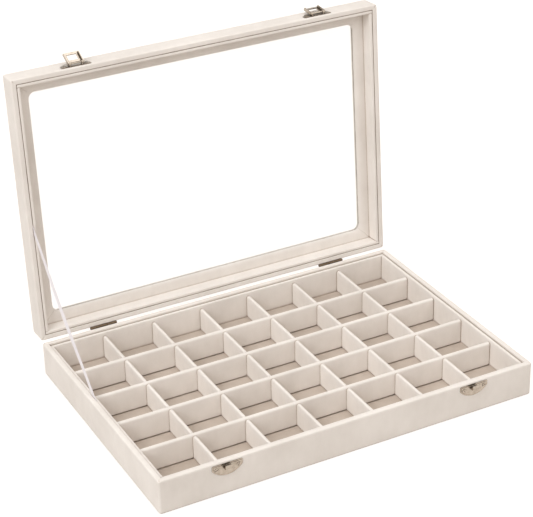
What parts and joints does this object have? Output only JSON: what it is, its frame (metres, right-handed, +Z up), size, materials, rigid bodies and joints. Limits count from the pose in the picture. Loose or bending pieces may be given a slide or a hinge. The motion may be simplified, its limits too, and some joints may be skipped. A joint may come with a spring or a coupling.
{
  "type": "jewelry display tray",
  "caption": "Low rectangular velvet-covered tray divided into square compartments, with a glass-topped hinged lid, a ribbon stay and hook-and-loop latches on the front.",
  "frame": {"origin": "centre of the underside, on the surface the tray rests on", "axes": "+X to the right along the front edge, +Y to the hinged back edge, +Z up"},
  "size_m": [0.35, 0.2824, 0.28],
  "materials": {
    "velvet": "short-pile ivory velvet",
    "pad_velvet": "short-pile ivory velvet on a thin soft backing",
    "underside": "plain flocked sheet",
    "fibreboard": "raw fibreboard, hidden under velvet",
    "glass": "clear flat glass, ground edges",
    "nickel": "bright nickel plate",
    "ribbon": "white satin ribbon"
  },
  "bodies": {
    "base": {"base_board_back": "fibreboard", "base_board_front": "fibreboard", "base_board_left": "fibreboard", "base_board_right": "fibreboard", "base_bottom_board": "fibreboard", "base_floor_pad": "pad_velvet", "base_liner_back": "velvet", "base_liner_front": "velvet", "base_liner_left": "velvet", "base_liner_right": "velvet", "base_underside_sheet": "underside", "base_wrap": "velvet", "divider_column_1": "velvet", "divider_column_2": "velvet", "divider_column_3": "velvet", "divider_column_4": "velvet", "divider_column_5": "velvet", "divider_column_6": "velvet", "divider_row_1": "velvet", "divider_row_2": "velvet", "divider_row_3": "velvet", "divider_row_4": "velvet", "hinge_base_leaf_left": "nickel", "hinge_base_leaf_right": "nickel", "hinge_base_screws": "nickel", "hinge_pin_left": "nickel", "hinge_pin_right": "nickel", "ribbon_stay": "ribbon", "strike_plate_left": "nickel", "strike_plate_right": "nickel", "strike_screws": "nickel"},
    "lid": {"glass_pane": "glass", "hinge_lid_leaf_left": "nickel", "hinge_lid_leaf_right": "nickel", "hinge_lid_screws": "nickel", "latch_pin_left": "nickel", "latch_pin_right": "nickel", "latch_plate_left": "nickel", "latch_plate_right": "nickel", "latch_screws": "nickel", "lid_bezel_back": "velvet", "lid_bezel_front": "velvet", "lid_bezel_left": "velvet", "lid_bezel_right": "velvet", "lid_board_back": "fibreboard", "lid_board_front": "fibreboard", "lid_board_left": "fibreboard", "lid_board_right": "fibreboard", "lid_liner_back": "velvet", "lid_liner_front": "velvet", "lid_liner_left": "velvet", "lid_liner_right": "velvet", "lid_top_frame": "fibreboard", "lid_wrap": "velvet"},
    "hasp_left": {"hasp_left": "nickel"},
    "hasp_right": {"hasp_right": "nickel"}
  },
  "joints": [
    {"name": "lid_hinge", "type": "hinge", "parent": "base", "child": "lid", "pos_m": [0, 0.1207, 0.0313], "axis": [1, 0, 0], "range_deg": [0, 94], "deforming": ["ribbon_stay"]},
    {"name": "hasp_left_swing", "type": "hinge", "parent": "lid", "child": "hasp_left", "pos_m": [-0.1155, 0.14126, 0.27376], "axis": [1, 0, 0], "range_deg": [-25, 150]},
    {"name": "hasp_right_swing", "type": "hinge", "parent": "lid", "child": "hasp_right", "pos_m": [0.1155, 0.14126, 0.27376], "axis": [1, 0, 0], "range_deg": [-3, 172]}
  ]
}
